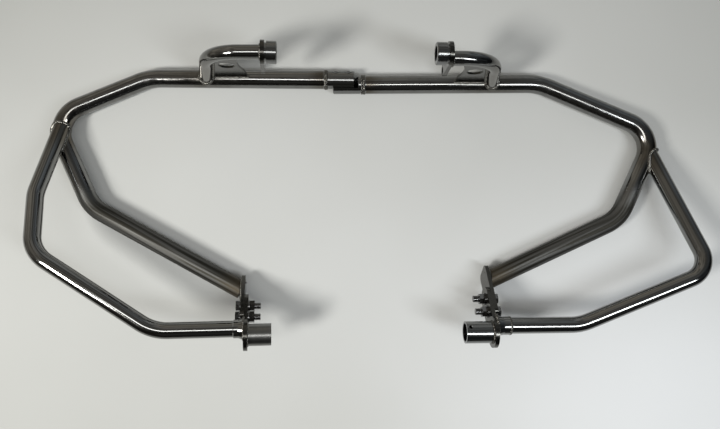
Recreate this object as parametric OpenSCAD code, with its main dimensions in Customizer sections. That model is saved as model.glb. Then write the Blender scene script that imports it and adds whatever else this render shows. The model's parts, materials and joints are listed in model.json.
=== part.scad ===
/* [Main tubes] */
// Outside diameter of the two main tubes
main_od = 25; // [22:0.5:28]
// Wall thickness of the main tubes
main_wall = 2; // [1.2:0.1:3]
// Bend radius at the shoulders of the cross tube, on the tube's axis
shoulder_r = 75; // [50:5:100]
// Bend radius at the two outer corners of the main tubes
corner_r = 40; // [34:1:46]
// Bend radius at the elbows of the inner legs
elbow_r = 50; // [45:5:80]

/* [Outer loops] */
// Outside diameter of the two loop tubes
loop_od = 21; // [19:0.5:23]
// Wall thickness of the loop tubes
loop_wall = 2; // [1.2:0.1:3]
// Bend radius at the left loop's outer corner
left_loop_corner_r = 45; // [36:1:55]
// Bend radius at the right loop's outer corner
right_loop_corner_r = 30; // [26:1:40]
// Bend radius at the gentle bends of the loops
loop_bend_r = 60; // [45:5:80]
// Height of the left loop's outer corner above the ground
left_loop_height = 110; // [95:1:130]
// Height of the right loop's corner above the ground
right_loop_height = 75; // [65:1:95]

/* [Lap joint] */
// Length of each tongue
tongue_len = 35.6; // [32:0.2:40]
// Sideways step between the two tube axes at the joint
lap_step = 6.7; // [4:0.1:8]
// Distance of the lap faces from the middle between the two tube axes
lap_shift = 4.5; // [0:0.5:6]
// Angle of the clamp screws above the horizontal
lap_angle = 25; // [10:1:40]
// Thread diameter of the clamp screws
screw_d = 6; // [5:0.5:6]
// Distance between the two clamp screws
screw_gap = 17.2; // [15:0.2:18]

/* [Mount arms] */
// Outside diameter of the mount arms
arm_od = 18; // [16:0.5:19]
// Wall thickness of the mount arms
arm_wall = 2; // [1.2:0.1:3]
// Bend radius of the mount arms
arm_bend_r = 48; // [40:1:50]
// Height of the arms' level part above the ground
arm_height = 125; // [120:0.5:132]
// Thickness of the gusset plates
gusset_t = 3; // [2:0.5:4]
// Diameter of the hole in each gusset plate
gusset_hole = 21; // [16:0.5:24]

/* [Bosses] */
// Outside diameter of the boss rings
ring_od = 27.4; // [26:0.2:30]
// Bore diameter of the boss rings
ring_bore = 18; // [14:0.5:20]
// Length of the boss rings
ring_len = 12.5; // [10:0.5:14]
// Thickness of the boss flanges
flange_t = 5; // [4:0.5:6]
// Distance from the boss axis to the hole in the flange's ear
ear_reach = 40; // [36:0.5:44]
// Diameter of the hole in the flange's ear
ear_hole = 8.5; // [6:0.5:9]

/* [Rear brackets] */
// Thickness of each bracket plate
plate_t = 5; // [4:0.5:6]
// Width of the bracket plates
plate_w = 32; // [30:1:36]
// Distance from each inner leg's axis to the nearer bolt
leg_to_bolt = 31; // [28:0.5:34]
// Outside diameter of the spacer sleeves
sleeve_od = 28; // [26:0.5:30]
// Bore diameter of the spacer sleeves
sleeve_bore = 23; // [20:0.5:24]
// Length of the left spacer sleeve
left_sleeve_len = 30; // [26:1:36]
// Length of the right spacer sleeve
right_sleeve_len = 35; // [32:1:40]
// Height of the left sleeve's axis above the ground
left_sleeve_height = 86; // [84:0.5:92]
// Height of the right sleeve's axis above the ground
right_sleeve_height = 77; // [75:0.5:82]
// Thread diameter of the bracket bolts
bolt_d = 8; // [6:0.5:8]
// Distance between the two bolts of a bracket
bolt_gap = 20; // [18:0.5:22]
// Length of thread that stands out past each nut
bolt_stub = 8; // [4:0.5:12]

/* [Hidden] */

steel = "silver";
bright_steel = "gainsboro";
dark_steel = "dimgray";
tube_fn = 32;
bend_fn = 96;
round_fn = 48;
hex_fn = 6;
left = -1;
right = 1;

// A cut runs this far past the face that it cuts, and joined shapes reach this far into each other
cut_over = 1;
join = 1;
// Tubes that end on a slanting face are drawn longer by this much, then cut with a block this big
tube_over = 14;
tube_cut = 30;
// The thinner part of a plug begins this far past its flat
// Fits: a tube in its collar, a screw in its thread and a screw in its clearance hole
slip_fit = 0.1;
thread_fit = 0.1;
screw_clear = 0.4;

// At each end of a bend a low band, a little wider than the tube, joins it to the straight
band_gap = 0.4;
band_reach = 0.8;
band_step = 0.04;

// The cross tube lies on the ground, and the legs rise a little from it
cross_z = main_od / 2;
leg_z = 22;

// Lap joint along x: where each tongue begins, the length of its full round part, and the
// groove that ends the weld on it
lap_gap = 1;
left_tongue_x = -52.2;
left_plug_len = 12.1;
right_tongue_x = left_tongue_x + tongue_len + lap_gap;
right_plug_len = 10;
left_groove_at = 6;
right_groove_at = 7.5;
groove_w = 1.2;
groove_depth = 1;
left_tip_chamfer = 6;
right_tip_chamfer = 0.8;
spigot_len = 18;
screw_edge = 4;
screw_mid_x = left_tongue_x + lap_gap + screw_edge + screw_gap / 2;
screw_len = 23;
screw_head_d = 1.6 * screw_d;
screw_head_h = screw_d;
screw_key = 0.83 * screw_d;
head_seat = 13.5;
head_clear = 1;

// Corners of the left main tube's axis
left_cross = [left_tongue_x - left_plug_len, 167.9, cross_z];
left_shoulder = [-305.6, 170.1, cross_z];
left_corner = [-436.9, 114.1, leg_z];
left_elbow = [-381.7, -8.9, leg_z];

// Corners of the right main tube's axis
right_cross = [right_tongue_x + right_plug_len, left_cross[1] - lap_step, cross_z];
right_shoulder = [233.3, 162.4, cross_z];
right_corner = [392.6, 92.3, leg_z];
right_elbow = [340.5, -24.8, leg_z];

// Bracket places: the sleeve's axis on the inner face of the loop plate
left_bracket_at = [-156.9, -171.9, left_sleeve_height];
left_bracket_slope = 53;
left_bracket_roll = 8;
right_bracket_at = [155.5, -169.9, right_sleeve_height];
right_bracket_slope = 42;
right_bracket_roll = -4;
loop_offset = 8;
leg_tail = 16;
plate_corner_r = 6;
bolt_edge = 10.5;
plate_clear = 0.55;
tip_r = 20;
washer_d = 2 * bolt_d;
washer_t = 0.2 * bolt_d;
head_af = 1.625 * bolt_d;
head_h = 0.66 * bolt_d;
nut_h = 0.81 * bolt_d;
collar_foot_d = loop_od + 7;
collar_lip_d = loop_od + 2.4;
left_collar_len = 13;
right_collar_len = 18;
cross_hole_d = 5;
cross_hole_at = 6;
cross_hole_turn = 39;

// Loops: where each leaves the corner bend, its bends, and its last straight run
left_branch = 0.5;
left_loop_bend = [-431.9, 8.1, 75];
left_loop_corner = [-418.9, -64.9, left_loop_height];
left_loop_run = 111;
right_branch = 0.75;
right_loop_corner = [439.1, -90.9, right_loop_height];
right_loop_run = 112;

// Mount arms: the foot's place along the cross tube, the elbow and the boss
left_arm_x = -226.9;
left_arm_elbow = [-200, 177.3, arm_height];
left_boss_at = [-134.6, 177.2, arm_height];
left_boss_dip = 7;
left_ear_swing = 13;
right_arm_x = 168.7;
right_arm_elbow = [150, 169.6, arm_height];
right_boss_at = [97.7, 175.1, arm_height];
right_boss_dip = -3;
right_ear_swing = 16;
neck_len = 2.4;
neck_d = ring_od - 4;
socket_depth = ring_len - 1;
mouth_edge = 1;
flange_r = ring_od / 2 + 1;
ear_r = 8;
web_step = 0.4;

// Gusset plates: hole centre and inner edge, as places in the object's x and z
left_gusset_hole = [-185.5, 77];
left_gusset_edge = -167;
right_gusset_hole = [134.3, 74];
right_gusset_edge = 116;
scallop_r = 70;
scallop_depth = 4;

function unit(v) = v / norm(v);
function turn(a, p, b) = acos(unit(p - a) * unit(b - p));

// Bend at the corner p between a and b: its start, its inward side and a point part way round
function bend_start(a, p, b, r) = p - unit(p - a) * r * tan(turn(a, p, b) / 2);
function bend_inward(a, p, b) =
    (unit(b - p) - unit(p - a) * cos(turn(a, p, b))) / sin(turn(a, p, b));
function bend_point(a, p, b, r, part) =
    bend_start(a, p, b, r)
    + bend_inward(a, p, b) * r * (1 - cos(part * turn(a, p, b)))
    + unit(p - a) * r * sin(part * turn(a, p, b));

// Rigid frame with its axes x, y and z at a place
function frame(at, x, y, z) = [
    [x[0], y[0], z[0], at[0]],
    [x[1], y[1], z[1], at[1]],
    [x[2], y[2], z[2], at[2]],
    [0, 0, 0, 1]
];
function side_axis(u) = unit(cross(abs(u[2]) < 0.9 ? [0, 0, 1] : [1, 0, 0], u));
function along(at, u) = frame(at, side_axis(u), cross(u, side_axis(u)), u);
function on_line(a, b, x) = a + (b - a) * (x - a[0]) / (b[0] - a[0]);

// Along a bracket from the sleeve's axis: the bolts, clear of the end collar, and the inner leg
near_bolt_x = loop_offset * cos(right_bracket_slope) + collar_foot_d / 2 + plate_clear + bolt_edge;
far_bolt_x = near_bolt_x + bolt_gap;
bracket_len = far_bolt_x + leg_to_bolt;

// Bracket directions: outward through the plates, and along them toward the leg
function bracket_out(side, roll) = [side * cos(roll), 0, sin(roll)];
function bracket_leg(side, slope, roll) =
    [side * sin(slope) * sin(roll), cos(slope), -sin(slope) * cos(roll)];
function leg_end(at, side, slope, roll) =
    at + bracket_leg(side, slope, roll) * bracket_len + bracket_out(side, roll) * 2 * plate_t;
function loop_end(at, side, roll) = at + [0, loop_offset, 0] + bracket_out(side, roll) * plate_t;

// Boss directions: inward along the socket, and down along the flange's ear
function boss_in(side, dip) = [-side * cos(dip), 0, -sin(dip)];
function boss_ear(side, dip, swing) =
    [side * sin(dip) * cos(swing), -sin(swing), -cos(dip) * cos(swing)];

left_leg_end = leg_end(left_bracket_at, left, left_bracket_slope, left_bracket_roll);
right_leg_end = leg_end(right_bracket_at, right, right_bracket_slope, right_bracket_roll);
left_main_path = [left_cross, left_shoulder, left_corner, left_elbow, left_leg_end];
right_main_path = [right_cross, right_shoulder, right_corner, right_elbow, right_leg_end];
main_bends = [0, shoulder_r, corner_r, elbow_r, 0];

left_loop_end = loop_end(left_bracket_at, left, left_bracket_roll);
right_loop_end = loop_end(right_bracket_at, right, right_bracket_roll);
left_loop_path = [
    bend_point(left_shoulder, left_corner, left_elbow, corner_r, left_branch),
    left_loop_bend,
    left_loop_corner,
    left_loop_end + bracket_out(left, left_bracket_roll) * left_loop_run,
    left_loop_end
];
right_loop_path = [
    bend_point(right_shoulder, right_corner, right_elbow, corner_r, right_branch),
    right_loop_corner,
    right_loop_end + bracket_out(right, right_bracket_roll) * right_loop_run,
    right_loop_end
];
left_loop_bends = [0, loop_bend_r, left_loop_corner_r, loop_bend_r, 0];
right_loop_bends = [0, right_loop_corner_r, loop_bend_r, 0];

left_arm_foot = on_line(left_cross, left_shoulder, left_arm_x);
right_arm_foot = on_line(right_cross, right_shoulder, right_arm_x);
arm_bends = [0, arm_bend_r, 0];
left_arm_end = [left_boss_at[0], left_arm_elbow[1], arm_height];
right_arm_end = [right_boss_at[0], right_arm_elbow[1], arm_height];
lap_normal = [0, cos(lap_angle), sin(lap_angle)];
lap_mid = [screw_mid_x, (left_cross[1] + right_cross[1]) / 2, cross_z] - lap_normal * lap_shift;

// Straight rod between two points
module rod(a, b, d) {
    multmatrix(along(a, unit(b - a)))
        cylinder(h = norm(b - a), d = d, $fn = tube_fn);
}

// Bend of a rod at the corner p between a and b
module rod_bend(a, p, b, r, d) {
    w = bend_inward(a, p, b);
    u = unit(p - a);
    multmatrix(frame(bend_start(a, p, b, r) + w * r, -w, u, cross(-w, u)))
        rotate_extrude(angle = turn(a, p, b), $fn = bend_fn)
            translate([r, 0])
                circle(d = d, $fn = tube_fn);
}

// Rod along the corners p with the bend radii r, lengthened at its start and end
module bent_rod(p, r, d, start_over = 0, end_over = 0) {
    n = len(p) - 1;
    cut = [for (i = [0:n]) i == 0 || i == n ? 0 : r[i] * tan(turn(p[i-1], p[i], p[i+1]) / 2)];
    for (i = [0:n-1]) {
        u = unit(p[i+1] - p[i]);
        from = i == 0 ? p[0] - u * start_over : p[i] + u * (cut[i] + band_gap);
        to = i == n - 1 ? p[n] + u * end_over : p[i+1] - u * (cut[i+1] + band_gap);
        rod(from, to, d);
        if (i > 0)
            rod(p[i] + u * (cut[i] - band_gap), p[i] + u * (cut[i] + band_reach), d + band_step);
        if (i < n - 1)
            rod(p[i+1] - u * (cut[i+1] + band_reach), p[i+1] - u * (cut[i+1] - band_gap),
                d + band_step);
    }
    for (i = [1:n-1])
        rod_bend(p[i-1], p[i], p[i+1], r[i], d);
}

module bent_tube(p, r, d, wall, start_over = 0, end_over = 0) {
    difference() {
        bent_rod(p, r, d, start_over, end_over);
        bent_rod(p, r, d - 2 * wall, start_over + cut_over, end_over + cut_over);
    }
}

// Places its children in a bracket's frame: x toward the leg, z outward through the plates
module in_bracket(at, side, slope, roll) {
    out = bracket_out(side, roll);
    leg = bracket_leg(side, slope, roll);
    multmatrix(frame(at, leg, cross(out, leg), out))
        children();
}
module in_left_bracket() {
    in_bracket(left_bracket_at, left, left_bracket_slope, left_bracket_roll)
        children();
}
module in_right_bracket() {
    in_bracket(right_bracket_at, right, right_bracket_slope, right_bracket_roll)
        children();
}

// Places its children in a boss's frame: x down the ear, z inward along the socket
module in_boss(at, side, dip, swing) {
    inward = boss_in(side, dip);
    ear = boss_ear(side, dip, swing);
    multmatrix(frame(at, ear, cross(inward, ear), inward))
        children();
}
module in_left_boss() {
    in_boss(left_boss_at, left, left_boss_dip, left_ear_swing)
        children();
}
module in_right_boss() {
    in_boss(right_boss_at, right, right_boss_dip, right_ear_swing)
        children();
}

// Places its children in the lap joint's frame: z across the lap faces, toward the left tongue
module in_lap() {
    multmatrix(frame(lap_mid, [1, 0, 0], cross(lap_normal, [1, 0, 0]), lap_normal))
        children();
}

// Main tubes: the leg's end is cut off flat on the outer face of its plate
module leg_cut() {
    translate([bracket_len - tube_cut, -tube_cut, 2 * plate_t - tube_cut])
        cube([2 * tube_cut, 2 * tube_cut, tube_cut]);
}
module left_main_tube() {
    color(steel)
        difference() {
            bent_tube(left_main_path, main_bends, main_od, main_wall, 0, tube_over);
            in_left_bracket()
                leg_cut();
        }
}
module right_main_tube() {
    color(steel)
        difference() {
            bent_tube(right_main_path, main_bends, main_od, main_wall, 0, tube_over);
            in_right_bracket()
                leg_cut();
        }
}

// Loop tubes: each is coped to sit on the corner bend of its main tube
module corner_cope(a, p, b) {
    bent_rod([a, p, b], [0, corner_r, 0], main_od);
}
module left_loop_tube() {
    color(steel)
        difference() {
            bent_tube(left_loop_path, left_loop_bends, loop_od, loop_wall);
            corner_cope(left_shoulder, left_corner, left_elbow);
        }
}
module right_loop_tube() {
    color(steel)
        difference() {
            bent_tube(right_loop_path, right_loop_bends, loop_od, loop_wall);
            corner_cope(right_shoulder, right_corner, right_elbow);
        }
}

// Lap joint: a plug in each tube's end carries a tongue cut flat on the lap plane
module screw_row() {
    for (s = [-0.5, 0.5])
        translate([s * screw_gap, 0, 0])
            children();
}
module plug(a, b, tip_x, groove_at, tip_chamfer) {
    u = unit(a - b);
    length = norm(on_line(a, b, tip_x) - a);
    r = main_od / 2;
    multmatrix(along(a, u))
        rotate_extrude($fn = round_fn)
            polygon([
                [0, 0],
                [r, 0],
                [r, groove_at - groove_w / 2],
                [r - groove_depth, groove_at - groove_w / 2],
                [r - groove_depth, groove_at + groove_w / 2],
                [r, groove_at + groove_w / 2],
                [r, length - tip_chamfer],
                [r - tip_chamfer, length],
                [0, length]
            ]);
    rod(a - u * spigot_len, a + u * groove_at, main_od - 2 * main_wall - slip_fit);
}
module left_lap_tongue() {
    color(bright_steel)
        difference() {
            plug(left_cross, left_shoulder, left_tongue_x + tongue_len, left_groove_at,
                left_tip_chamfer);
            in_lap()
                translate([left_tongue_x - screw_mid_x, -main_od, -2 * main_od])
                    cube([2 * tongue_len, 2 * main_od, 2 * main_od]);
            in_lap()
                screw_row() {
                    translate([0, 0, -cut_over])
                        cylinder(h = main_od, d = screw_d + screw_clear, $fn = round_fn);
                    translate([0, 0, head_seat])
                        cylinder(h = main_od, d = screw_head_d + head_clear, $fn = round_fn);
                }
        }
}
module right_lap_tongue() {
    color(bright_steel)
        difference() {
            plug(right_cross, right_shoulder, right_tongue_x - tongue_len, right_groove_at,
                right_tip_chamfer);
            in_lap()
                translate([right_tongue_x - screw_mid_x - 2 * tongue_len, -main_od, 0])
                    cube([2 * tongue_len, 2 * main_od, 2 * main_od]);
            in_lap()
                screw_row()
                    translate([0, 0, -main_od])
                        cylinder(h = main_od + cut_over, d = screw_d + thread_fit, $fn = round_fn);
        }
}
module lap_screw() {
    difference() {
        translate([0, 0, head_seat])
            cylinder(h = screw_head_h, d = screw_head_d, $fn = round_fn);
        translate([0, 0, head_seat + screw_head_h / 2])
            cylinder(h = screw_head_h, d = screw_key / cos(30), $fn = hex_fn);
    }
    translate([0, 0, head_seat - screw_len])
        cylinder(h = screw_len + join, d = screw_d, $fn = round_fn);
}
module lap_screws() {
    color(dark_steel)
        in_lap()
            screw_row()
                lap_screw();
}

// Mount arms: coped on the cross tube, cut off flat on the boss flange
module arm(foot, elbow, at) {
    bent_tube([foot, elbow, at], arm_bends, arm_od, arm_wall, 0, tube_over / 2);
}
module boss_cut() {
    translate([-tube_cut / 2, -tube_cut / 2, 0])
        cube([tube_cut, tube_cut, tube_cut]);
}
module left_mount_arm() {
    color(steel)
        difference() {
            arm(left_arm_foot, left_arm_elbow, left_arm_end);
            rod(left_cross, left_shoulder, main_od);
            in_left_boss()
                boss_cut();
        }
}
module right_mount_arm() {
    color(steel)
        difference() {
            arm(right_arm_foot, right_arm_elbow, right_arm_end);
            rod(right_cross, right_shoulder, main_od);
            in_right_boss()
                boss_cut();
        }
}

// Gusset plates: a web in the arm's own plane, between the arm and the cross tube
module gusset(foot, elbow, at, hole, edge) {
    lean = [0, elbow[1] - foot[1], elbow[2] - foot[2]];
    up = unit(lean);
    rise = norm(lean);
    u = unit(elbow - foot);
    leave = arm_bend_r * tan(turn(foot, elbow, at) / 2);
    side = sign(at[0] - elbow[0]);
    bend_from = elbow - u * leave;
    bend_to = elbow[0] + side * leave;
    hole_y = (hole[1] - foot[2]) / up[2];
    edge_x = edge - foot[0];
    multmatrix(frame(foot, [1, 0, 0], up, cross([1, 0, 0], up)))
        difference() {
            linear_extrude(height = gusset_t, center = true)
                difference() {
                    polygon([
                        [0, 0],
                        [bend_from[0] - foot[0], (bend_from[2] - foot[2]) / up[2]],
                        [bend_to - foot[0], rise],
                        [edge_x, rise],
                        [edge_x, 0]
                    ]);
                    translate([edge_x + side * (scallop_r - scallop_depth), hole_y])
                        circle(r = scallop_r, $fn = bend_fn);
                }
            translate([hole[0] - foot[0], hole_y, -gusset_t])
                cylinder(h = 2 * gusset_t, d = gusset_hole, $fn = round_fn);
        }
}
module left_gusset_plate() {
    color(bright_steel)
        difference() {
            gusset(left_arm_foot, left_arm_elbow, left_arm_end, left_gusset_hole, left_gusset_edge);
            rod(left_cross, left_shoulder, main_od);
            bent_rod([left_arm_foot, left_arm_elbow, left_arm_end], arm_bends, arm_od);
        }
}
module right_gusset_plate() {
    color(bright_steel)
        difference() {
            gusset(right_arm_foot, right_arm_elbow, right_arm_end, right_gusset_hole,
                right_gusset_edge);
            rod(right_cross, right_shoulder, main_od);
            bent_rod([right_arm_foot, right_arm_elbow, right_arm_end], arm_bends, arm_od);
        }
}

// Boss: a pear-shaped flange with a drilled ear, and a turned ring with a blind socket
module boss_flange() {
    wide = flange_r - web_step;
    narrow = ear_r - web_step;
    difference() {
        union() {
            cylinder(h = flange_t, r = flange_r, $fn = round_fn);
            translate([ear_reach, 0, 0])
                cylinder(h = flange_t, r = ear_r, $fn = round_fn);
            linear_extrude(height = flange_t)
                polygon([[0, wide], [ear_reach, narrow], [ear_reach, -narrow], [0, -wide]]);
        }
        translate([ear_reach, 0, -cut_over])
            cylinder(h = flange_t + 2 * cut_over, d = ear_hole, $fn = round_fn);
    }
}
module boss_ring() {
    top = neck_len + ring_len;
    translate([0, 0, flange_t])
        difference() {
            union() {
                cylinder(h = neck_len + join, d = neck_d, $fn = round_fn);
                translate([0, 0, neck_len])
                    cylinder(h = ring_len - mouth_edge, d = ring_od, $fn = round_fn);
                translate([0, 0, top - mouth_edge])
                    cylinder(h = mouth_edge, d1 = ring_od, d2 = ring_od - 2 * mouth_edge,
                        $fn = round_fn);
            }
            translate([0, 0, top - socket_depth])
                cylinder(h = socket_depth + cut_over, d = ring_bore, $fn = round_fn);
        }
}
module left_boss_flange() {
    color(steel)
        in_left_boss()
            boss_flange();
}
module right_boss_flange() {
    color(steel)
        in_right_boss()
            boss_flange();
}
module left_boss_ring() {
    color(bright_steel)
        in_left_boss()
            boss_ring();
}
module right_boss_ring() {
    color(bright_steel)
        in_right_boss()
            boss_ring();
}

// Rear brackets: the leg plate lies on the outer face of the loop plate
module at_bolts() {
    for (x = [near_bolt_x, far_bolt_x])
        translate([x, 0, 0])
            children();
}
module bolt_holes() {
    at_bolts()
        translate([0, 0, -cut_over])
            cylinder(h = 2 * plate_t + 2 * cut_over, d = bolt_d + screw_clear, $fn = round_fn);
}
module rounded_plate(from_x, to_x, r) {
    linear_extrude(height = plate_t)
        union() {
            translate([from_x + r, -plate_w / 2])
                square([to_x - from_x - 2 * r, plate_w]);
            translate([from_x, r - plate_w / 2])
                square([to_x - from_x, plate_w - 2 * r]);
            for (x = [from_x + r, to_x - r], y = [r - plate_w / 2, plate_w / 2 - r])
                translate([x, y])
                    circle(r = r, $fn = round_fn);
        }
}
module leg_plate() {
    difference() {
        translate([0, 0, plate_t])
            rounded_plate(near_bolt_x - bolt_edge, bracket_len + leg_tail, plate_corner_r);
        bolt_holes();
    }
}
module loop_plate() {
    difference() {
        union() {
            cylinder(h = plate_t, r = tip_r, $fn = round_fn);
            translate([0, -plate_w / 2, 0])
                cube([far_bolt_x, plate_w, plate_t]);
            translate([far_bolt_x, 0, 0])
                cylinder(h = plate_t, d = plate_w, $fn = round_fn);
        }
        bolt_holes();
    }
}
module left_leg_plate() {
    color(steel)
        in_left_bracket()
            leg_plate();
}
module right_leg_plate() {
    color(steel)
        in_right_bracket()
            leg_plate();
}
module left_loop_plate() {
    color(steel)
        in_left_bracket()
            loop_plate();
}
module right_loop_plate() {
    color(steel)
        in_right_bracket()
            loop_plate();
}

// End collars: a flared ring round each loop tube's end, on the loop plate
module end_collar(length) {
    rotate_extrude($fn = round_fn)
        polygon([
            [(loop_od + slip_fit) / 2, 0],
            [collar_foot_d / 2, 0],
            [collar_lip_d / 2, length / 2],
            [collar_lip_d / 2, length - mouth_edge],
            [collar_lip_d / 2 - mouth_edge, length],
            [(loop_od + slip_fit) / 2, length]
        ]);
}
module left_end_collar() {
    color(steel)
        multmatrix(along(left_loop_end, bracket_out(left, left_bracket_roll)))
            end_collar(left_collar_len);
}
module right_end_collar() {
    color(steel)
        multmatrix(along(right_loop_end, bracket_out(right, right_bracket_roll)))
            end_collar(right_collar_len);
}

// Spacer sleeves: thin tubes square on the inner face of each loop plate
module spacer_sleeve(length) {
    difference() {
        translate([0, 0, -length])
            cylinder(h = length, d = sleeve_od, $fn = round_fn);
        translate([0, 0, -length - cut_over])
            cylinder(h = length + 2 * cut_over, d = sleeve_bore, $fn = round_fn);
    }
}
module left_spacer_sleeve() {
    color(bright_steel)
        in_left_bracket()
            spacer_sleeve(left_sleeve_len);
}
module right_spacer_sleeve() {
    color(bright_steel)
        difference() {
            in_right_bracket()
                spacer_sleeve(right_sleeve_len);
            translate(right_bracket_at - bracket_out(right, right_bracket_roll)
                * (right_sleeve_len - cross_hole_at))
                rotate([-cross_hole_turn, 0, 0])
                    cylinder(h = sleeve_od, d = cross_hole_d, $fn = round_fn);
        }
}

// Bracket fasteners: hexagon bolts from outside, washers on both sides, nuts inside
module hex_body(height, low_edge, high_edge) {
    wide = head_af / cos(30);
    intersection() {
        cylinder(h = height, d = wide, $fn = hex_fn);
        union() {
            cylinder(h = height / 2, d1 = low_edge ? head_af : 2 * wide, d2 = 2 * wide,
                $fn = round_fn);
            translate([0, 0, height / 2])
                cylinder(h = height / 2, d1 = 2 * wide, d2 = high_edge ? head_af : 2 * wide,
                    $fn = round_fn);
        }
    }
}
module bracket_bolts() {
    head_z = 2 * plate_t + washer_t;
    tip_z = -washer_t - nut_h - bolt_stub;
    at_bolts() {
        translate([0, 0, head_z])
            hex_body(head_h, false, true);
        translate([0, 0, tip_z])
            cylinder(h = head_z - tip_z + join, d = bolt_d, $fn = round_fn);
    }
}
module bracket_nuts() {
    at_bolts()
        translate([0, 0, -washer_t - nut_h])
            difference() {
                hex_body(nut_h, true, true);
                translate([0, 0, -cut_over])
                    cylinder(h = nut_h + 2 * cut_over, d = bolt_d + thread_fit, $fn = round_fn);
            }
}
module washer() {
    difference() {
        cylinder(h = washer_t, d = washer_d, $fn = round_fn);
        translate([0, 0, -cut_over])
            cylinder(h = washer_t + 2 * cut_over, d = bolt_d + screw_clear, $fn = round_fn);
    }
}
module bracket_washers() {
    at_bolts() {
        translate([0, 0, 2 * plate_t])
            washer();
        translate([0, 0, -washer_t])
            washer();
    }
}
module left_bracket_bolts() {
    color(dark_steel)
        in_left_bracket()
            bracket_bolts();
}
module right_bracket_bolts() {
    color(dark_steel)
        in_right_bracket()
            bracket_bolts();
}
module left_bracket_nuts() {
    color(dark_steel)
        in_left_bracket()
            bracket_nuts();
}
module right_bracket_nuts() {
    color(dark_steel)
        in_right_bracket()
            bracket_nuts();
}
module left_bracket_washers() {
    color(dark_steel)
        in_left_bracket()
            bracket_washers();
}
module right_bracket_washers() {
    color(dark_steel)
        in_right_bracket()
            bracket_washers();
}

left_main_tube();
right_main_tube();
left_loop_tube();
right_loop_tube();
left_lap_tongue();
right_lap_tongue();
lap_screws();
left_mount_arm();
right_mount_arm();
left_gusset_plate();
right_gusset_plate();
left_boss_flange();
right_boss_flange();
left_boss_ring();
right_boss_ring();
left_leg_plate();
right_leg_plate();
left_loop_plate();
right_loop_plate();
left_end_collar();
right_end_collar();
left_spacer_sleeve();
right_spacer_sleeve();
left_bracket_bolts();
right_bracket_bolts();
left_bracket_nuts();
right_bracket_nuts();
left_bracket_washers();
right_bracket_washers();
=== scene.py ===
# %% [markdown]
# Crash bars are a bent steel frame that keeps a fallen motorcycle off its engine. This pair lies
# on the ground, seen from straight above. The two halves are polished stainless tube, so nearly
# all of their look is reflection: smooth tubes, thin bright lines, dark bands, and small weld
# beads where the pieces meet. The lesson sets up the camera and the light first, because they
# make most of that look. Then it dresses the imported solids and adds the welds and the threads.

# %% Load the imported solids
import json
import math
import bpy
import numpy as np
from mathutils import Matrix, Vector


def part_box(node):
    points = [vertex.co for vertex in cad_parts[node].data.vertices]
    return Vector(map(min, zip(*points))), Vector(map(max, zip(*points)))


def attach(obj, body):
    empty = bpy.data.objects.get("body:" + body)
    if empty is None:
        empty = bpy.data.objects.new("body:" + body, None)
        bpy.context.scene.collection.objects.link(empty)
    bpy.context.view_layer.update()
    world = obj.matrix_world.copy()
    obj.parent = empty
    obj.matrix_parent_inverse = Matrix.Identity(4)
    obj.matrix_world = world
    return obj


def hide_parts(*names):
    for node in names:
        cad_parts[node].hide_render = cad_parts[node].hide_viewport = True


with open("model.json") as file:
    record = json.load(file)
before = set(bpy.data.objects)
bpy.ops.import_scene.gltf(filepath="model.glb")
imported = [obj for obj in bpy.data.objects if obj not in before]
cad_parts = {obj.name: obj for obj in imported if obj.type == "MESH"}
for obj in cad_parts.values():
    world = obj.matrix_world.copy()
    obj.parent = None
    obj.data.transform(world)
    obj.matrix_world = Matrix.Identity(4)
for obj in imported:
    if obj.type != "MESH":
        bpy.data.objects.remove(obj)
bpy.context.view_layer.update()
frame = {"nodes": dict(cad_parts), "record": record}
nodes = frame["nodes"]
MM = 0.001

# %% [markdown]
# The photo was taken from straight above. In such a view a tube that is nearer to the lens looks
# wider and lies further from the middle, so the camera's height matters as much as its place.
# It was found from the widths of tubes of one size at different heights.

# %% Camera
camera_data = bpy.data.cameras.new("overhead_camera")
camera_data.sensor_width = 36.0
camera_data.lens = 31.0
camera_data.clip_start = 0.05
camera = bpy.data.objects.new("overhead_camera", camera_data)
camera.location = (-0.0139, -0.0189, 0.8735)
bpy.context.scene.collection.objects.link(camera)
bpy.context.scene.camera = camera
print("camera", tuple(round(x, 4) for x in camera.location), "lens", camera_data.lens)

# %% [markdown]
# A light studio floor is paper or painted board. It is never one flat value: the light falls off
# toward the corners and the surface has a faint mottle. The floor is one large sheet. Noise
# mottles its tone a little. Wide soft spots paint light and shade into its colour: a painted pool
# of light over the middle and the front right, and painted shade on the right side and the left
# corners.

# %% Floor
def node_tree(name):
    material = bpy.data.materials.new(name)
    material.use_nodes = True
    return material, material.node_tree, material.node_tree.nodes["Principled BSDF"]


def mesh_object(name, verts, faces, material=None, smooth=False):
    mesh = bpy.data.meshes.new(name)
    mesh.from_pydata([tuple(v) for v in verts], [], faces)
    if material:
        mesh.materials.append(material)
    if smooth:
        mesh.shade_smooth()
    obj = bpy.data.objects.new(name, mesh)
    bpy.context.scene.collection.objects.link(obj)
    return obj


def feed(tree, value, socket):
    if hasattr(value, "is_output"):
        tree.links.new(value, socket)
    else:
        socket.default_value = value


def math_node(tree, operation, *values):
    node = tree.nodes.new("ShaderNodeMath")
    node.operation = operation
    for socket, value in zip(node.inputs, values):
        feed(tree, value, socket)
    return node.outputs[0]


def blend(tree, value, factor, offset):
    return math_node(tree, "MULTIPLY_ADD", value, factor, offset)


def noise_node(tree, vector, scale, detail=2.0, rough=0.5):
    node = tree.nodes.new("ShaderNodeTexNoise")
    node.inputs["Scale"].default_value = scale
    node.inputs["Detail"].default_value = detail
    node.inputs["Roughness"].default_value = rough
    tree.links.new(vector, node.inputs["Vector"])
    return node.outputs["Fac"]


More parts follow.
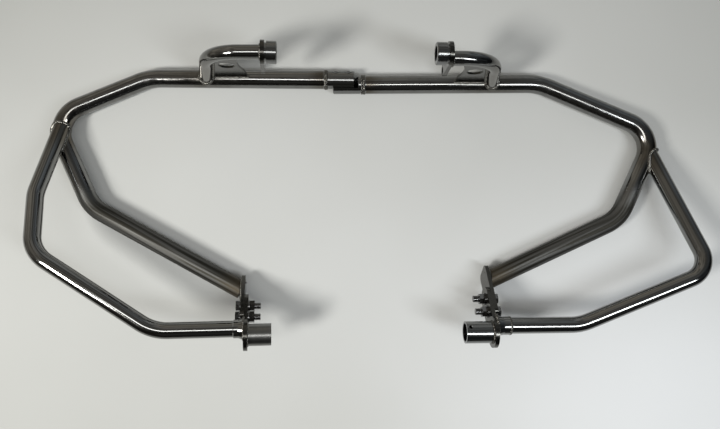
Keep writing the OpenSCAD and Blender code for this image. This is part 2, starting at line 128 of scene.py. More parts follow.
def ramp(tree, value, low, high, to_low=0.0, to_high=1.0, kind="LINEAR"):
    node = tree.nodes.new("ShaderNodeMapRange")
    node.interpolation_type = kind
    for label, number in (("From Min", low), ("From Max", high),
                          ("To Min", to_low), ("To Max", to_high)):
        node.inputs[label].default_value = number
    tree.links.new(value, node.inputs["Value"])
    return node.outputs["Result"]


def near_spot(tree, vector, centre, inner, outer):
    away = tree.nodes.new("ShaderNodeVectorMath")
    away.operation = "DISTANCE"
    away.inputs[1].default_value = centre
    tree.links.new(vector, away.inputs[0])
    return ramp(tree, away.outputs["Value"], inner, outer, 1.0, 0.0, "SMOOTHSTEP")


def colour_ramp(tree, value, *colours):
    node = tree.nodes.new("ShaderNodeValToRGB")
    stops = node.color_ramp.elements
    for k in range(1, len(colours) - 1):
        stops.new(k / (len(colours) - 1))
    for stop, colour in zip(stops, colours):
        stop.color = (*colour, 1)
    tree.links.new(value, node.inputs["Fac"])
    return node.outputs["Color"]


MOTTLE_SCALE, MOTTLE_AMOUNT, BASE_TONE = 2.2, 0.25, 0.29
SPOT_CORE = 0.05
# Painted light and painted shade in the floor colour: centre, reach, and how much lighter or
# darker.
PAINTED_LIGHT_SPOTS = [((0.14, -0.16, 0), 1.10, 0.16), ((0.46, -0.32, 0), 0.50, 0.44),
              ((-0.75, 0.50, 0), 0.75, -0.26), ((0.95, 0.18, 0), 0.72, -0.30),
              ((-0.42, -0.72, 0), 0.78, -0.26)]
FLOOR_HALF, FLOOR_Z = 4.0, -0.0005
floor_material, tree, bsdf = node_tree("floor_board")
place = tree.nodes.new("ShaderNodeTexCoord").outputs["Object"]
tone = blend(tree, noise_node(tree, place, MOTTLE_SCALE, 3.0), MOTTLE_AMOUNT, BASE_TONE)
# Paint the pools of light and the shade into the floor tone.
for centre, reach, amount in PAINTED_LIGHT_SPOTS:
    tone = blend(tree, near_spot(tree, place, centre, SPOT_CORE, reach), amount, tone)
tree.links.new(colour_ramp(tree, tone, (0.33, 0.335, 0.315), (0.565, 0.57, 0.555),
                           (0.80, 0.815, 0.83)), bsdf.inputs["Base Color"])
bsdf.inputs["Roughness"].default_value = 0.85
floor = mesh_object("floor", [(x * FLOOR_HALF, y * FLOOR_HALF, FLOOR_Z)
                              for x, y in ((-1, -1), (1, -1), (1, 1), (-1, 1))],
                    [(0, 1, 2, 3)], floor_material)

# %% [markdown]
# Polished metal shows its room. The light here comes from long soft strips that hang overhead in
# the shape of a wide arrow head: a short one over the middle, and an arm that runs out to the
# front on each side. Each strip draws a thin bright line along the tubes that lie across it. The
# arms stand well to the sides, so the shadows fall inward and toward the back. The tubes also
# mirror the room: its walls are brighter at the back and the left, warm on one side and cool on
# the other, and broken into patches. The camera itself sees a plain wall.

# %% Lamps
def strip(name, place, size, turn, power, colour):
    data = bpy.data.lights.new(name, "AREA")
    data.shape = "RECTANGLE"
    data.size, data.size_y = size
    data.energy = power
    data.color = colour
    obj = bpy.data.objects.new(name, data)
    obj.location = place
    obj.rotation_euler = (0, 0, math.radians(turn))
    bpy.context.scene.collection.objects.link(obj)


strip("middle_strip", (-0.10, -0.12, 1.55), (1.06, 0.20), 0, 4.7, (1.0, 1.0, 0.985))
strip("left_arm", (-1.14, -0.50, 1.50), (0.60, 0.30), 31, 29.0, (1.0, 0.99, 0.95))
strip("right_arm", (0.90, -0.46, 1.50), (0.97, 0.24), -21, 11.5, (0.93, 0.97, 1.0))
world = bpy.data.worlds.new("studio")
bpy.context.scene.world = world
world.use_nodes = True
sky = world.node_tree
LEAN_Y, LEAN_X = 0.6, -0.3
WALL_LEAN, WALL_LIGHT = (-0.2, 0.45), (0.04, 0.33)
PATCH_SCALE, PATCH_SPREAD, PATCH_LEAST = 4.5, 1.1, 0.4
PATCH_HUE, SIDE_HUE = 0.4, 1.2
toward = sky.nodes.new("ShaderNodeTexCoord").outputs["Generated"]
split = sky.nodes.new("ShaderNodeSeparateXYZ")
sky.links.new(toward, split.inputs["Vector"])
lean = math_node(sky, "ADD", math_node(sky, "MULTIPLY", split.outputs["Y"], LEAN_Y),
                 math_node(sky, "MULTIPLY", split.outputs["X"], LEAN_X))
things = sky.nodes.new("ShaderNodeTexVoronoi")
things.distance = "CHEBYCHEV"
things.inputs["Scale"].default_value = PATCH_SCALE
things.inputs["Randomness"].default_value = 0.9
sky.links.new(toward, things.inputs["Vector"])
shade = sky.nodes.new("ShaderNodeSeparateColor")
sky.links.new(things.outputs["Color"], shade.inputs["Color"])
patchy = math_node(sky, "ADD", math_node(sky, "MULTIPLY", shade.outputs["Red"], PATCH_SPREAD),
                   PATCH_LEAST)
sky.links.new(math_node(sky, "MULTIPLY", ramp(sky, lean, *WALL_LEAN, *WALL_LIGHT), patchy),
              sky.nodes["Background"].inputs["Strength"])
hue = math_node(sky, "ADD", math_node(sky, "MULTIPLY", shade.outputs["Green"], PATCH_HUE),
                math_node(sky, "MULTIPLY", split.outputs["X"], SIDE_HUE))
sky.links.new(colour_ramp(sky, hue, (1.0, 0.93, 0.80), (0.84, 0.93, 1.0)),
              sky.nodes["Background"].inputs["Color"])
plain_wall = sky.nodes.new("ShaderNodeBackground")
plain_wall.inputs["Color"].default_value = (0.60, 0.61, 0.60, 1)
plain_wall.inputs["Strength"].default_value = 0.5
seen = sky.nodes.new("ShaderNodeMixShader")
sky.links.new(sky.nodes.new("ShaderNodeLightPath").outputs["Is Camera Ray"], seen.inputs["Fac"])
sky.links.new(sky.nodes["Background"].outputs["Background"], seen.inputs[1])
sky.links.new(plain_wall.outputs["Background"], seen.inputs[2])
sky.links.new(seen.outputs["Shader"], sky.nodes["World Output"].inputs["Surface"])
bpy.context.scene.view_settings.view_transform = "Standard"

# %% [markdown]
# Polished stainless steel is close to a mirror, but handled tube has fine scratches, faint
# smears where fingers and cloth have been, and a slight haze. The scratches are long and thin
# along the tube, and the smears are large and soft. Both are shared effects, so they are node
# groups that give out a mask or a height, and each finish mixes them its own way.

# %% Shared surface effects
def group(name, inputs, outputs):
    tree = bpy.data.node_groups.new(name, "ShaderNodeTree")
    for label, kind, value in inputs:
        socket = tree.interface.new_socket(label, in_out="INPUT", socket_type=kind)
        if value is not None:
            socket.default_value = value
    for label, kind in outputs:
        tree.interface.new_socket(label, in_out="OUTPUT", socket_type=kind)
    return tree, tree.nodes.new("NodeGroupInput"), tree.nodes.new("NodeGroupOutput")


def stretched(tree, vector, scale):
    node = tree.nodes.new("ShaderNodeMapping")
    node.inputs["Scale"].default_value = scale
    tree.links.new(vector, node.inputs["Vector"])
    return node.outputs["Vector"]


scratches, given, result = group(
    "fine_scratches",
    [("Vector", "NodeSocketVector", None)],
    [("Mask", "NodeSocketFloat"), ("Height", "NodeSocketFloat")])
long_lines = noise_node(scratches, stretched(scratches, given.outputs["Vector"], (1, 1, 0.03)),
                        2600, 3.0, 0.6)
cross_lines = noise_node(scratches, stretched(scratches, given.outputs["Vector"], (0.05, 0.05, 1)),
                         1500, 2.0, 0.5)
patches = noise_node(scratches, given.outputs["Vector"], 35, 2.0)
lines = math_node(scratches, "MAXIMUM", ramp(scratches, long_lines, 0.62, 0.8),
                  ramp(scratches, cross_lines, 0.68, 0.85))
scratches.links.new(math_node(scratches, "MULTIPLY", lines, ramp(scratches, patches, 0.42, 0.7)),
                    result.inputs["Mask"])
scratches.links.new(long_lines, result.inputs["Height"])

smears, given, result = group(
    "soft_smears",
    [("Vector", "NodeSocketVector", None)],
    [("Mask", "NodeSocketFloat")])
broad = noise_node(smears, given.outputs["Vector"], 14, 4.0, 0.6)
small = noise_node(smears, given.outputs["Vector"], 90, 3.0, 0.6)
smears.links.new(math_node(smears, "MULTIPLY", ramp(smears, broad, 0.4, 0.75),
                           ramp(smears, small, 0.3, 0.7)), result.inputs["Mask"])
print("groups", [g.name for g in bpy.data.node_groups])

# %% [markdown]
# Each finish is a Principled metal. Its roughness rises in the smears and the scratches, and its
# colour dips a little there. The tubes read a coordinate that runs along and round the tube, and
# the machined pieces read Object coordinates, so the pattern stays on the piece. Near the welds
# the heat has stained the tubes a dull brown. Round the arm feet that brown spreads wider and is
# painted shade there too. The main tubes' front legs are rubbed dull.

# %% Steel finishes
def colour_mix(tree, factor, first, second):
    node = tree.nodes.new("ShaderNodeMix")
    node.data_type = "RGBA"
    for label, value in (("Factor", factor), ("A", first), ("B", second)):
        feed(tree, value, node.inputs[label])
    return node.outputs["Result"]


RUB_FADE = 0.04
HEAT_CORE, STAIN_AND_SHADE_COLOUR = 0.006, (0.085, 0.068, 0.045, 1)
RELIEF_DEPTH = 0.00004


def steel(name, colour, dull_colour, rough, dull_rough, bump, attribute=None, stain_and_shade_spots=(),
          rubbed_below=None):
    material, tree, bsdf = node_tree(name)
    bsdf.inputs["Metallic"].default_value = 1.0
    place = tree.nodes.new("ShaderNodeTexCoord").outputs["Object"]
    vector = place
    if attribute:
        source = tree.nodes.new("ShaderNodeAttribute")
        source.attribute_name = attribute
        vector = source.outputs["Vector"]
    effects = []
    for effect in (scratches, smears):
        node = tree.nodes.new("ShaderNodeGroup")
        node.node_tree = effect
        tree.links.new(vector, node.inputs["Vector"])
        effects.append(node)
    wear = math_node(tree, "MAXIMUM", effects[0].outputs["Mask"],
                     math_node(tree, "MULTIPLY", effects[1].outputs["Mask"], 0.7))
    faded = wear
    if rubbed_below is not None:
        apart = tree.nodes.new("ShaderNodeSeparateXYZ")
        tree.links.new(place, apart.inputs["Vector"])
        rubbed = ramp(tree, apart.outputs["Y"], rubbed_below, rubbed_below - RUB_FADE)
        streaks = ramp(tree, noise_node(tree, stretched(tree, vector, (1, 1, 0.02)), 330, 2.0),
                       0.38, 0.60)
        faded = math_node(tree, "MAXIMUM", wear,
                          math_node(tree, "MULTIPLY", rubbed, blend(tree, streaks, 0.45, 0.55)))
        wear = math_node(tree, "MAXIMUM", wear, rubbed)
    mix = colour_mix(tree, faded, (*colour, 1), (*dull_colour, 1))
    # Brown near the welds: a real heat stain that also serves as painted shade around the arm
    # feet.
    if stain_and_shade_spots:
        stain_and_shade = 0.0
        for centre, reach in stain_and_shade_spots:
            stain_and_shade = math_node(tree, "MAXIMUM", near_spot(tree, place, centre, HEAT_CORE, reach),
                             stain_and_shade)
        stain_and_shade = math_node(tree, "MULTIPLY", stain_and_shade,
                         blend(tree, effects[1].outputs["Mask"], 0.4, 0.6))
        mix = colour_mix(tree, stain_and_shade, mix, STAIN_AND_SHADE_COLOUR)
    tree.links.new(mix, bsdf.inputs["Base Color"])
    tree.links.new(ramp(tree, wear, 0.0, 1.0, rough, dull_rough), bsdf.inputs["Roughness"])
    relief = tree.nodes.new("ShaderNodeBump")
    relief.inputs["Strength"].default_value = bump
    relief.inputs["Distance"].default_value = RELIEF_DEPTH
    tree.links.new(effects[0].outputs["Height"], relief.inputs["Height"])
    tree.links.new(relief.outputs["Normal"], bsdf.inputs["Normal"])
    return material


# Heat stain spots at the welds. The two wide, raised spots around the arm feet also paint shade
# there.
WELD_STAIN_AND_SHADE_SPOTS = [((-0.411, 0.094, 0.030), 0.05), ((0.388, 0.066, 0.030), 0.05),
              ((-0.227, 0.160, 0.065), 0.08), ((0.169, 0.152, 0.065), 0.08),
              ((-0.172, -0.122, 0.022), 0.05), ((0.166, -0.110, 0.022), 0.05),
              ((-0.064, 0.168, 0.013), 0.03), ((-0.006, 0.161, 0.013), 0.03)]
RUBBED_BELOW = 0.03
BRIGHT = (0.235, 0.235, 0.23)
polished_tube = steel("polished_tube", BRIGHT, (0.17, 0.167, 0.155), 0.09, 0.22, 0.12,
                      "along_tube", WELD_STAIN_AND_SHADE_SPOTS)
main_tube_steel = steel("polished_main_tube", BRIGHT, (0.040, 0.038, 0.032), 0.09, 0.56, 0.12,
                        "along_tube", WELD_STAIN_AND_SHADE_SPOTS, RUBBED_BELOW)
turned_steel = steel("turned_steel", (0.215, 0.217, 0.215), (0.155, 0.153, 0.145), 0.15, 0.32, 0.3)
plate_steel = steel("plate_steel", (0.085, 0.083, 0.076), (0.035, 0.033, 0.028), 0.17, 0.36, 0.5)
dark_steel = steel("dark_fastener", (0.20, 0.20, 0.20), (0.06, 0.06, 0.06), 0.15, 0.40, 0.4)
black_steel = steel("oiled_thread_and_painted_shade", (0.06, 0.058, 0.052), (0.03, 0.028, 0.024), 0.25, 0.45, 0.4)
worn_steel = steel("worn_turned_steel", (0.20, 0.20, 0.193), (0.12, 0.118, 0.11), 0.27, 0.42, 0.5)
weld_steel = steel("weld_bead_steel", (0.16, 0.155, 0.142), (0.08, 0.07, 0.056), 0.22, 0.45, 0.5)

# %% [markdown]
# The imported solids keep their shape and take a finish each. The record's slot names say which,
# except that the left spacer sleeve takes a worn finish and the left bracket's nuts take the
# near-black thread finish as painted shade.

# %% Dress the solids
finish_of = {"polished_steel": polished_tube, "turned_steel": turned_steel,
             "plate_steel": plate_steel, "dark_steel": dark_steel}
# The left bracket's nuts are painted into shade with the near-black thread finish; the same nuts
# on the right keep the fastener finish.
own_finish = {"left_bracket_nuts": black_steel, "left_spacer_sleeve": worn_steel}
for part in frame["record"]["subparts"]:
    obj = nodes[part["node"]]
    obj.data.materials.clear()
    obj.data.materials.append(own_finish.get(part["node"], finish_of[part["material_slot"]]))
print("dressed", len(nodes))

# %% [markdown]
# No real edge is perfectly sharp. A narrow bevel on the plates, rings and fasteners catches the
# light the way a filed edge does.

# %% Soften the edges
edge_width = {"plate": 0.0006, "flange": 0.0006, "ring": 0.0005, "sleeve": 0.0004,
              "collar": 0.0005, "tongue": 0.0004, "bolts": 0.0003, "nuts": 0.0003,
              "washers": 0.0002}
EDGE_ANGLE = 40
softened = 0
for name, obj in nodes.items():
    width = edge_width.get(name.split("_")[-1])
    if width:
        bevel = obj.modifiers.new("filed_edge", "BEVEL")
        bevel.width = width
        bevel.segments = 2
        bevel.limit_method = "ANGLE"
        bevel.angle_limit = math.radians(EDGE_ANGLE)
        bevel.harden_normals = True
        softened += 1
print("softened", softened)

# %% [markdown]
# A bent tube is a straight axis with round bends. On the real bars a bending machine sets each
# corner's radius, so the axis here is built the same way: corner points, and a radius for each.
# The numbers are the part's own, in millimetres.

# %% Bent axes
def unit(v):
    return v / np.linalg.norm(v)


def bend(a, p, b, r):
    u, w = unit(p - a), unit(b - p)
    turn = math.acos(float(u @ w))
    inward = unit(w - u * math.cos(turn))
    start = p - u * r * math.tan(turn / 2)
    return turn, lambda angle: (start + inward * r * (1 - math.cos(angle))
                                + u * r * math.sin(angle))


def bent_axis(corners, radii, step=math.radians(3)):
    p = [np.array(c, float) for c in corners]
    points = [p[0]]
    for i in range(1, len(p) - 1):
        turn, at_angle = bend(p[i - 1], p[i], p[i + 1], radii[i])
        count = max(4, math.ceil(turn / step))
        points += [at_angle(turn * k / count) for k in range(count + 1)]
    points.append(p[-1])
    return np.array(points)


def bend_point(a, p, b, r, part):
    turn, at_angle = bend(*(np.array(v, float) for v in (a, p, b)), r)
    return at_angle(part * turn)


def bracket_axes(at, side, slope, roll):
    s, r = math.radians(slope), math.radians(roll)
    out = np.array([side * math.cos(r), 0, math.sin(r)])
    leg = np.array([side * math.sin(s) * math.sin(r), math.cos(s), -math.sin(s) * math.cos(r)])
    return np.array(at, float), leg, np.cross(out, leg), out


def boss_axes(at, side, dip, swing):
    d, s = math.radians(dip), math.radians(swing)
    inward = np.array([-side * math.cos(d), 0, -math.sin(d)])
    ear = np.array([side * math.sin(d) * math.cos(s), -math.sin(s), -math.cos(d) * math.cos(s)])
    return np.array(at, float), ear, np.cross(inward, ear), inward


MAIN_R, LOOP_R, ARM_R = 12.5, 10.5, 9.0
SHOULDER_BEND, CORNER_BEND, ELBOW_BEND, ARM_BEND = 75, 40, 50, 48
PLATE_T, BRACKET_LEN, LOOP_OFFSET = 5.0, 82.0, 8.0
brackets = {"left": bracket_axes((-156.9, -171.9, 86), -1, 53, 8),
            "right": bracket_axes((155.5, -169.9, 77), 1, 42, -4)}
bosses = {"left": boss_axes((-134.6, 177.2, 125), -1, 7, 13),
          "right": boss_axes((97.7, 175.1, 125), 1, -3, 16)}
leg_ends = {s: b[0] + b[1] * BRACKET_LEN + b[3] * 2 * PLATE_T for s, b in brackets.items()}
loop_ends = {s: b[0] + np.array([0, LOOP_OFFSET, 0]) + b[3] * PLATE_T
             for s, b in brackets.items()}
main_corners = {
    "left": [(-64.3, 167.9, 12.5), (-305.6, 170.1, 12.5), (-436.9, 114.1, 22), (-381.7, -8.9, 22),
             leg_ends["left"]],
    "right": [(-5.6, 161.2, 12.5), (233.3, 162.4, 12.5), (392.6, 92.3, 22), (340.5, -24.8, 22),
              leg_ends["right"]]}
main_radii = [0, SHOULDER_BEND, CORNER_BEND, ELBOW_BEND, 0]
branches = {"left": bend_point(*main_corners["left"][1:4], CORNER_BEND, 0.5),
            "right": bend_point(*main_corners["right"][1:4], CORNER_BEND, 0.75)}
loop_corners = {
    "left": [branches["left"], (-431.9, 8.1, 75), (-418.9, -64.9, 110),
             loop_ends["left"] + brackets["left"][3] * 111, loop_ends["left"]],
    "right": [branches["right"], (439.1, -90.9, 75),
              loop_ends["right"] + brackets["right"][3] * 112, loop_ends["right"]]}
loop_radii = {"left": [0, 60, 45, 60, 0], "right": [0, 30, 60, 0]}


def on_line(a, b, x):
    a, b = np.array(a, float), np.array(b, float)
    return a + (b - a) * (x - a[0]) / (b[0] - a[0])


arm_feet = {"left": on_line(*main_corners["left"][:2], -226.9),
            "right": on_line(*main_corners["right"][:2], 168.7)}
arm_corners = {"left": [arm_feet["left"], (-200, 177.3, 125), (-134.6, 177.3, 125)],
               "right": [arm_feet["right"], (150, 169.6, 125), (97.7, 169.6, 125)]}
axes = {}
for side in ("left", "right"):
    axes[side + "_main_tube"] = (bent_axis(main_corners[side], main_radii), MAIN_R)
    axes[side + "_loop_tube"] = (bent_axis(loop_corners[side], loop_radii[side]), LOOP_R)
    axes[side + "_mount_arm"] = (bent_axis(arm_corners[side], [0, ARM_BEND, 0]), ARM_R)
for name, (points, r) in axes.items():
    length = np.linalg.norm(np.diff(points, axis=0), axis=1).sum()
    print(f"{name}: {len(points)} points, {length:.0f} mm long, {2 * r:.0f} mm across")

# %% [markdown]
# A round tube that follows a path could be modelled by hand, but a rule is exact: sweep one
# circle along the axis. Geometry Nodes does this with Curve to Mesh. The tree also writes down,
# for each point, where it lies along and round the tube, as if the tube were still straight. The
# polish and the scratches read that, so they bend with the tube.

# %% Tube sweep
def geometry_tree(name, inputs):
    tree = bpy.data.node_groups.new(name, "GeometryNodeTree")
    tree.is_modifier = True
    tree.interface.new_socket("Geometry", in_out="INPUT", socket_type="NodeSocketGeometry")
    for label, kind, value in inputs:
        socket = tree.interface.new_socket(label, in_out="INPUT", socket_type=kind)
        if value is not None:
            socket.default_value = value
    tree.interface.new_socket("Geometry", in_out="OUTPUT", socket_type="NodeSocketGeometry")
    return tree, tree.nodes.new("NodeGroupInput"), tree.nodes.new("NodeGroupOutput")


def add(tree, kind, links=None, **settings):
    node = tree.nodes.new(kind)
    for key, value in settings.items():
        setattr(node, key, value)
    for label, value in (links or {}).items():
        feed(tree, value, node.inputs[label])
    return node


SIDES = 48
sweep, given, result = geometry_tree("tube_sweep", [
    ("Radius", "NodeSocketFloat", 0.0125), ("Sides", "NodeSocketInt", SIDES),
    ("Finish", "NodeSocketMaterial", None)])
distance = add(sweep, "GeometryNodeSplineParameter")
keep_length = add(sweep, "GeometryNodeCaptureAttribute", {"Geometry": given.outputs["Geometry"]})
keep_length.capture_items.new("FLOAT", "Length")
sweep.links.new(distance.outputs["Length"], keep_length.inputs["Length"])
circle = add(sweep, "GeometryNodeCurvePrimitiveCircle",
             {"Radius": given.outputs["Radius"], "Resolution": given.outputs["Sides"]})
spot = add(sweep, "GeometryNodeInputPosition")
keep_spot = add(sweep, "GeometryNodeCaptureAttribute", {"Geometry": circle.outputs["Curve"]})
keep_spot.capture_items.new("VECTOR", "Spot")
sweep.links.new(spot.outputs["Position"], keep_spot.inputs["Spot"])
skin = add(sweep, "GeometryNodeCurveToMesh", {"Curve": keep_length.outputs["Geometry"],
                                              "Profile Curve": keep_spot.outputs["Geometry"],
                                              "Fill Caps": True})
rise = add(sweep, "ShaderNodeCombineXYZ", {"Z": keep_length.outputs["Length"]})
straight = add(sweep, "ShaderNodeVectorMath", operation="ADD")
sweep.links.new(keep_spot.outputs["Spot"], straight.inputs[0])
sweep.links.new(rise.outputs["Vector"], straight.inputs[1])
written = add(sweep, "GeometryNodeStoreNamedAttribute",
              {"Geometry": skin.outputs["Mesh"], "Name": "along_tube",
               "Value": straight.outputs["Vector"]}, data_type="FLOAT_VECTOR", domain="POINT")
painted = add(sweep, "GeometryNodeSetMaterial", {"Geometry": written.outputs["Geometry"],
                                                 "Material": given.outputs["Finish"]})
sweep.links.new(painted.outputs["Geometry"], result.inputs["Geometry"])


def path_object(name, paths):
    curve = bpy.data.curves.new(name, "CURVE")
    curve.dimensions = "3D"
    curve.twist_mode = "MINIMUM"
    for points, closed in paths:
        spline = curve.splines.new("POLY")
        spline.points.add(len(points) - 1)
        flat = np.ones((len(points), 4))
        flat[:, :3] = np.array(points) * MM
        spline.points.foreach_set("co", flat.ravel())
        spline.use_cyclic_u = closed
    obj = bpy.data.objects.new(name, curve)
    bpy.context.scene.collection.objects.link(obj)
    return obj


def made_by(tree, name, paths, values, smooth=30):
    source = path_object(name + "_path", paths)
    live = source.modifiers.new(tree.name, "NODES")
    live.node_group = tree
    for item in tree.interface.items_tree:
        if item.in_out == "INPUT" and item.name in values:
            live[item.identifier] = values[item.name]
    bpy.context.view_layer.update()
    mesh = bpy.data.meshes.new_from_object(source.evaluated_get(
        bpy.context.evaluated_depsgraph_get()))
    bpy.data.objects.remove(source)
    mesh.name = name
    if smooth:
        mesh.set_sharp_from_angle(angle=math.radians(smooth))
    obj = bpy.data.objects.new(name, mesh)
    bpy.context.scene.collection.objects.link(obj)
    return obj


for node, (points, r) in axes.items():
    tube = made_by(sweep, node + "_skin", [(points, False)],
                   {"Radius": r * MM, "Sides": SIDES,
                    "Finish": main_tube_steel if "main" in node else polished_tube})
    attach(tube, "root")
    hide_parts(node)
    low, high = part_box(node)
    co = np.array([v.co for v in tube.data.vertices])
    print(f"{tube.name}: {len(tube.data.polygons)} faces, off the solid's box by",
          np.round((co.min(0) - np.array(low)) / MM, 2),
          np.round((co.max(0) - np.array(high)) / MM, 2))

# %% [markdown]
# A weld bead lies in the crease where two pieces meet. To place it, follow the crease: for each
# angle round the smaller tube, find where its surface leaves the bigger one, or meets a plate.

# %% Crease lines
def across(direction):
    direction = unit(np.array(direction, float))
    helper = np.array([0, 0, 1.0]) if abs(direction[2]) < 0.9 else np.array([1.0, 0, 0])
    u = unit(np.cross(helper, direction))
    return u, np.cross(direction, u)


def clear_of(point, axis):
    a, b = axis[:-1], axis[1:]
    d = b - a
    t = np.clip(((point - a) * d).sum(1) / (d * d).sum(1), 0, 1)
    return np.linalg.norm(a + d * t[:, None] - point, axis=1).min()


RING_POINTS, HALVINGS = 72, 24


def coped_ring(at, direction, r, axis, axis_r, reach=60):
    u, v = across(direction)
    direction = unit(np.array(direction, float))
    ring = []
    for k in range(RING_POINTS):
        a = 2 * math.pi * k / RING_POINTS
        base = at + r * (u * math.cos(a) + v * math.sin(a))
        low, high = 0.0, float(reach)
        for _ in range(HALVINGS):
            middle = (low + high) / 2
            if clear_of(base + direction * middle, axis) < axis_r:
                low = middle
            else:
                high = middle
        ring.append(base + direction * low)
    return np.array(ring)


def flat_ring(at, direction, r, plane_at, plane_out):
    u, v = across(direction)
    direction = unit(np.array(direction, float))
    a = np.linspace(0, 2 * math.pi, RING_POINTS, endpoint=False)[:, None]
    base = at + r * (u * np.cos(a) + v * np.sin(a))
    t = ((np.array(plane_at) - base) @ plane_out) / (direction @ plane_out)
    return base + direction * t[:, None]


def plain_ring(at, out, r):
    return flat_ring(at, out, r, at, unit(out))


def into_corner(d, normal, toward):
    inside = np.cross(d, normal)
    return inside * math.copysign(1, inside[0] * toward - inside[2])


GUSSET_T, GUSSET_GAP, GUSSET_START, GUSSET_LOW = 3.0, 4, 0.16, 24
SLEEVE_R, BEAD_SINK = 14.0, 0.6
COLLAR_LEN = 18.0
LAP_BEADS = {"left": {"tongue": 2.4, "tongue_edge": 4.4},
             "right": {"tongue": 2.6, "tongue_edge": 5.6}}
gusset_edge = {"left": -167.0, "right": 116.0}
creases = {}
for side in ("left", "right"):
    main, arm = axes[side + "_main_tube"][0], axes[side + "_mount_arm"][0]
    at, along, over, out = brackets[side]
    boss_at, ear, ear_over, inward = bosses[side]
    loop = np.array(loop_corners[side][1], float) - loop_corners[side][0]
    foot, elbow = arm_feet[side], np.array(arm_corners[side][1])
    leg = unit(leg_ends[side] - np.array(main_corners[side][3], float))
    lean = unit(np.array([0, elbow[1] - foot[1], elbow[2] - foot[2]]))
    normal = np.cross([1.0, 0, 0], lean)
    rings = {
        "branch": coped_ring(branches[side], loop, LOOP_R, main, MAIN_R),
        "arm_foot": coped_ring(foot, elbow - foot, ARM_R, main, MAIN_R),
        "arm_end": flat_ring(arm[-1], arm[-1] - arm[-2], ARM_R, boss_at, inward),
        "leg_end": flat_ring(leg_ends[side], leg, MAIN_R, at + out * 2 * PLATE_T, out),
        "collar_foot": flat_ring(loop_ends[side], out, SLEEVE_R, loop_ends[side], out),
        "sleeve_foot": flat_ring(at, out, SLEEVE_R, at, out)}
    if side == "right":
        rings["collar_lip"] = plain_ring(loop_ends[side] + out * COLLAR_LEN, out, LOOP_R)
    tongue = np.array(main_corners[side][0], float)
    toward_lap = unit(tongue - np.array(main_corners[side][1], float))
    for name, place in LAP_BEADS[side].items():
        rings[name] = plain_ring(tongue + toward_lap * place, toward_lap, MAIN_R - BEAD_SINK)
    lines = {}
    inner = math.sqrt(MAIN_R ** 2 - (GUSSET_T / 2) ** 2)
    arm_inner = math.sqrt(ARM_R ** 2 - (GUSSET_T / 2) ** 2)
    toward = math.copysign(1, gusset_edge[side] - foot[0])
    for face in (-1, 1):
        shift = normal * face * GUSSET_T / 2
        rise = lean * inner + shift
        lines[f"gusset_foot_{face}"] = np.array(
            [foot + rise + np.array([x - foot[0], 0, 0])
             for x in np.linspace(foot[0] + toward * (ARM_R + GUSSET_GAP), gusset_edge[side], 30)])
        inside = into_corner(unit(elbow - foot), normal, toward)
        spine = [foot + (elbow - foot) * GUSSET_START + inside * arm_inner + shift]
        for i in range(1, len(arm)):
            inside = into_corner(unit(arm[i] - arm[i - 1]), normal, toward)
            point = arm[i] + inside * arm_inner + shift
            if (gusset_edge[side] - point[0]) * toward > 0 and point[2] > GUSSET_LOW:
                spine.append(point)
        lines[f"gusset_arm_{face}"] = np.array(spine)
    creases[side] = (rings, lines)
    print(side, {k: len(v) for k, v in {**rings, **lines}.items()})

# %% [markdown]
# A hand-laid bead is a row of small overlapping ripples, like fallen coins. One ripple is a
# flattened ball. Geometry Nodes lays a ripple every millimetre or two along the crease, closer on
# a narrow bead, tips it over, varies its size a little from a fixed seed, and fills the row with
# a thin core.

# %% Weld beads
RIPPLE_LEAST, RIPPLE_MOST, CORE_SHARE, PITCH_SHARE = 0.86, 1.12, 0.42, 0.36
bead, given, result = geometry_tree("weld_bead", [
    ("Width", "NodeSocketFloat", 0.0045), ("Pitch", "NodeSocketFloat", 0.0015),
    ("Tip", "NodeSocketFloat", 0.5), ("Seed", "NodeSocketInt", 3),
    ("Finish", "NodeSocketMaterial", None)])
spots = add(bead, "GeometryNodeCurveToPoints",
            {"Curve": given.outputs["Geometry"], "Length": given.outputs["Pitch"]}, mode="LENGTH")
coin = add(bead, "GeometryNodeMeshIcoSphere", {"Radius": 1.0, "Subdivisions": 2})
half_width = math_node(bead, "MULTIPLY", given.outputs["Width"], 0.5)
flat = add(bead, "ShaderNodeCombineXYZ", {"X": half_width, "Y": half_width,
                                          "Z": given.outputs["Pitch"]})
vary = add(bead, "FunctionNodeRandomValue", {"Seed": given.outputs["Seed"]}, data_type="FLOAT")
vary.inputs[2].default_value = RIPPLE_LEAST
vary.inputs[3].default_value = RIPPLE_MOST
sized = add(bead, "ShaderNodeVectorMath", operation="SCALE")
bead.links.new(flat.outputs["Vector"], sized.inputs[0])
bead.links.new(vary.outputs[1], sized.inputs["Scale"])
facing = add(bead, "FunctionNodeAlignRotationToVector", {"Vector": spots.outputs["Tangent"]},
             axis="Z")
tip = add(bead, "ShaderNodeCombineXYZ", {"X": given.outputs["Tip"]})
tipped = add(bead, "FunctionNodeRotateRotation", {"Rotation": facing.outputs["Rotation"]},
             rotation_space="LOCAL")
bead.links.new(tip.outputs["Vector"], tipped.inputs["Rotate By"])
laid = add(bead, "GeometryNodeInstanceOnPoints",
           {"Points": spots.outputs["Points"], "Instance": coin.outputs["Mesh"],
            "Rotation": tipped.outputs["Rotation"], "Scale": sized.outputs["Vector"]})
real = add(bead, "GeometryNodeRealizeInstances", {"Geometry": laid.outputs["Instances"]})
core_r = math_node(bead, "MULTIPLY", given.outputs["Width"], CORE_SHARE)
core_circle = add(bead, "GeometryNodeCurvePrimitiveCircle", {"Radius": core_r, "Resolution": 8})
core = add(bead, "GeometryNodeCurveToMesh", {"Curve": given.outputs["Geometry"],
                                             "Profile Curve": core_circle.outputs["Curve"],
                                             "Fill Caps": True})
both = add(bead, "GeometryNodeJoinGeometry")
bead.links.new(real.outputs["Geometry"], both.inputs["Geometry"])
bead.links.new(core.outputs["Mesh"], both.inputs["Geometry"])
rounded = add(bead, "GeometryNodeSetShadeSmooth", {"Geometry": both.outputs["Geometry"]})
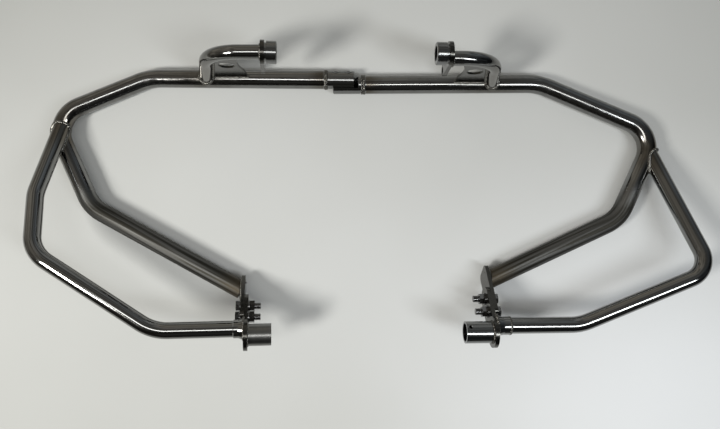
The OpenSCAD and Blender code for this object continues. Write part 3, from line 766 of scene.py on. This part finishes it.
painted = add(bead, "GeometryNodeSetMaterial", {"Geometry": rounded.outputs["Geometry"],
                                                "Material": given.outputs["Finish"]})
bead.links.new(painted.outputs["Geometry"], result.inputs["Geometry"])

widths = {"branch": 5.5, "arm_foot": 5.2, "arm_end": 3.4, "leg_end": 5.5, "collar_foot": 3.0,
          "sleeve_foot": 2.6, "collar_lip": 2.2, "tongue": 3.6, "tongue_edge": 3.0, "gusset": 4.0}
RIGHT_COLLAR = 1.6
seed = 3
for side, (rings, lines) in creases.items():
    for kind, points in {**rings, **lines}.items():
        seed += 1
        width = widths[kind.split("_")[0] if kind.startswith("gusset") else kind]
        if side == "right" and kind.startswith("collar"):
            width *= RIGHT_COLLAR
        row = made_by(bead, f"{side}_{kind.replace('-', 'n')}_weld", [(points, kind in rings)],
                      {"Width": width * MM, "Pitch": PITCH_SHARE * width * MM, "Seed": seed,
                       "Finish": weld_steel}, smooth=None)
        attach(row, "root")
    print(side, "beads done, last seed", seed)

# %% [markdown]
# Each bracket bolt stands out past its nut, and the thread shows there. A thread is one ridge
# wound round the bolt, so a helix of points is enough, and the same sweep turns it into a ridge.

# %% Bolt threads
BOLT_R, PITCH, TURNS = 4.0, 1.25, 6.2
POINTS_A_TURN, RIDGE_R, FROM_TIP = 28, 0.42, 0.3
NEAR_BOLT, BOLT_GAP, WASHER_T, NUT_H, STUB = 31.0, 20.0, 1.6, 6.48, 8.0
for side, (at, along, over, out) in brackets.items():
    for index, x in enumerate((NEAR_BOLT, NEAR_BOLT + BOLT_GAP)):
        tip = at + along * x - out * (WASHER_T + NUT_H + STUB)
        a = np.linspace(0, 2 * math.pi * TURNS, int(TURNS * POINTS_A_TURN))[:, None]
        ridge = (tip + BOLT_R * (along * np.cos(a) + over * np.sin(a))
                 + out * (PITCH * a / (2 * math.pi) + FROM_TIP))
        thread = made_by(sweep, f"{side}_bolt_{index + 1}_thread", [(ridge, False)],
                         {"Radius": RIDGE_R * MM, "Sides": 5, "Finish": black_steel})
        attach(thread, "root")
print("threads", TURNS, "turns each")
